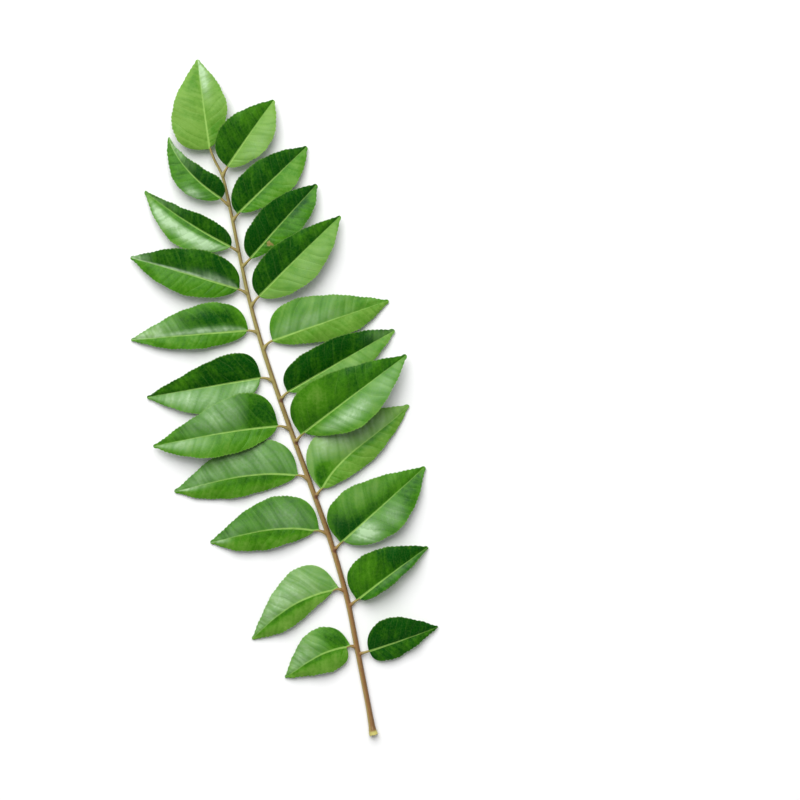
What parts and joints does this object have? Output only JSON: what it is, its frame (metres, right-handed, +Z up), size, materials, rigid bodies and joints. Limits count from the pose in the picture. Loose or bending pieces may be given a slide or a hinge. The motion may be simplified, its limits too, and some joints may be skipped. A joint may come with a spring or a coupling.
{
  "type": "curry leaf sprig",
  "caption": "Cut sprig of curry leaf lying flat: a thin brown stalk with two rows of glossy pointed leaflets and one at its end.",
  "frame": {"origin": "on the surface that the sprig lies on, under the middle of its bounding box", "axes": "+Z up, out of the surface; +Y along the sprig, from the cut end of the stalk to the tip of the end leaflet; +X to the right, seen from above with the tip away from the viewer"},
  "size_m": [0.092, 0.2401, 0.0102],
  "materials": {
    "leaf_green": "glossy fresh green leaf with a fine network of veins, paler and duller underneath",
    "stalk_brown": "smooth young bark, reddish brown at the thick end, olive towards the tip"
  },
  "bodies": {
    "root": {"stalk": "stalk_brown", "leaflet_terminal": "leaf_green", "leaflet_right_1": "leaf_green", "leaflet_right_2": "leaf_green", "leaflet_right_3": "leaf_green", "leaflet_right_4": "leaf_green", "leaflet_right_5": "leaf_green", "leaflet_right_6": "leaf_green", "leaflet_right_7": "leaf_green", "leaflet_right_8": "leaf_green", "leaflet_right_9": "leaf_green", "leaflet_right_10": "leaf_green", "leaflet_right_11": "leaf_green", "leaflet_left_1": "leaf_green", "leaflet_left_2": "leaf_green", "leaflet_left_3": "leaf_green", "leaflet_left_4": "leaf_green", "leaflet_left_5": "leaf_green", "leaflet_left_6": "leaf_green", "leaflet_left_7": "leaf_green", "leaflet_left_8": "leaf_green", "leaflet_left_9": "leaf_green", "leaflet_left_10": "leaf_green"}
  },
  "joints": []
}
